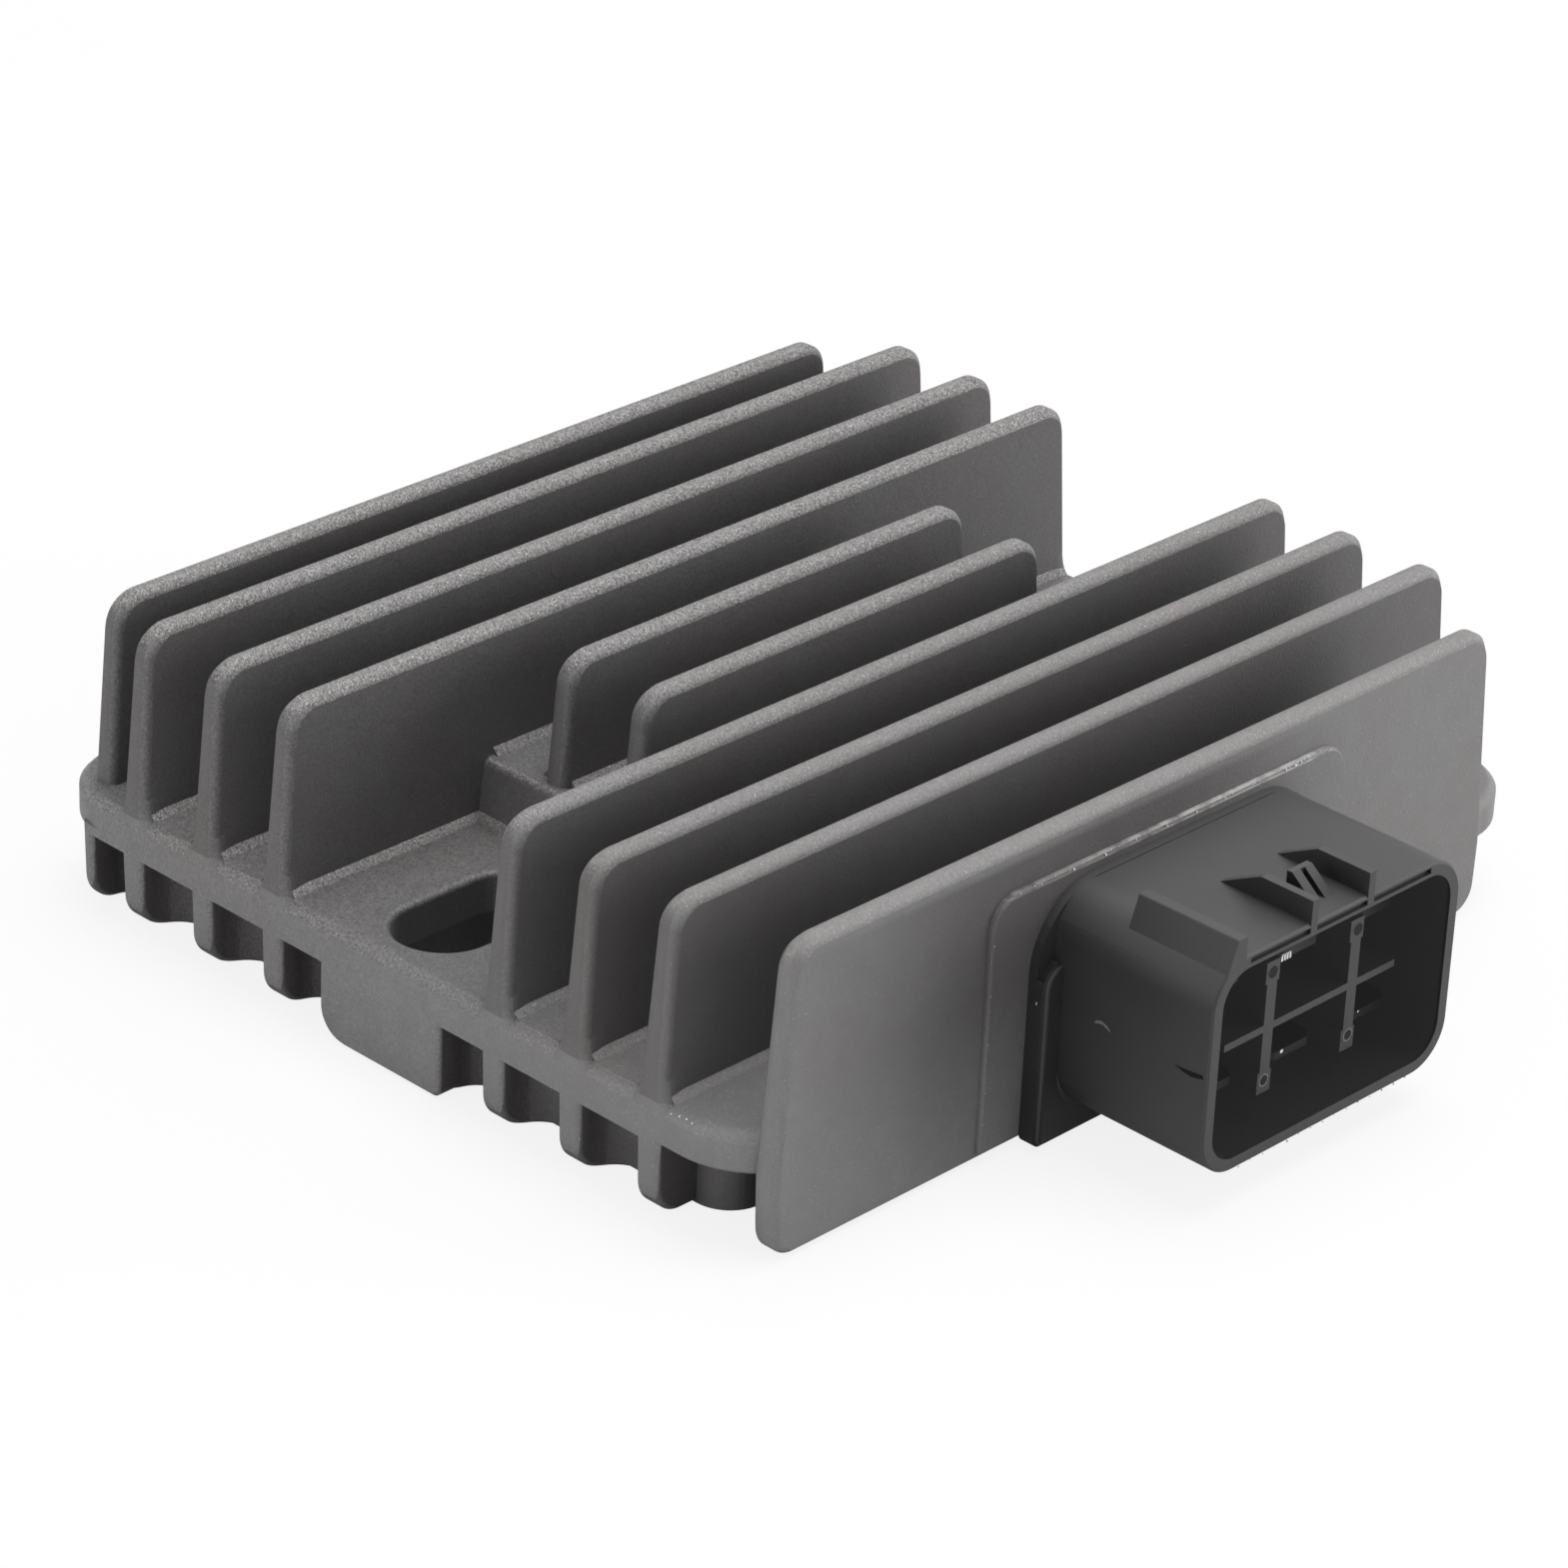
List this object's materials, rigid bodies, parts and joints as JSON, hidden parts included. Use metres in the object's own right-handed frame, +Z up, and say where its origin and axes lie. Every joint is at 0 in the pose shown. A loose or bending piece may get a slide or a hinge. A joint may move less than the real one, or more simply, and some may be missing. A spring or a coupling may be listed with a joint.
{
  "type": "voltage regulator rectifier",
  "caption": "Finned cast aluminium regulator rectifier with a potted underside, slotted mounting points and a side-facing male blade connector.",
  "frame": {"origin": "midway between the two mounting slots, on the plane of the mounting feet", "axes": "+Z up through the fins, +X out of the connector, +Y along the fins and the row of two mounting slots"},
  "size_m": [0.1113, 0.1032, 0.0296],
  "materials": {
    "casting": "as-cast, fine matte grain",
    "connector_plastic": "moulded, low sheen",
    "board_laminate": "laminate",
    "potting": "poured resin",
    "sheet": "smooth",
    "package_plastic": "moulded",
    "capacitor_body": "fired ceramic",
    "resistor_body": "fired ceramic",
    "terminal_metal": "tin plated"
  },
  "bodies": {
    "root": {"heatsink_housing": "casting", "connector_housing": "connector_plastic", "circuit_board": "board_laminate", "potting_compound": "potting", "insulating_sheet_left": "sheet", "insulating_sheet_right": "sheet", "control_circuit": "package_plastic", "filter_capacitor": "capacitor_body", "reference_diode": "package_plastic", "terminal_1": "terminal_metal", "terminal_2": "terminal_metal", "terminal_3": "terminal_metal", "terminal_4": "terminal_metal", "terminal_5": "terminal_metal", "terminal_6": "terminal_metal", "thyristor_1": "package_plastic", "rectifier_diode_1": "package_plastic", "gate_resistor_1": "resistor_body", "thyristor_2": "package_plastic", "rectifier_diode_2": "package_plastic", "gate_resistor_2": "resistor_body", "thyristor_3": "package_plastic", "rectifier_diode_3": "package_plastic", "gate_resistor_3": "resistor_body"}
  },
  "joints": []
}
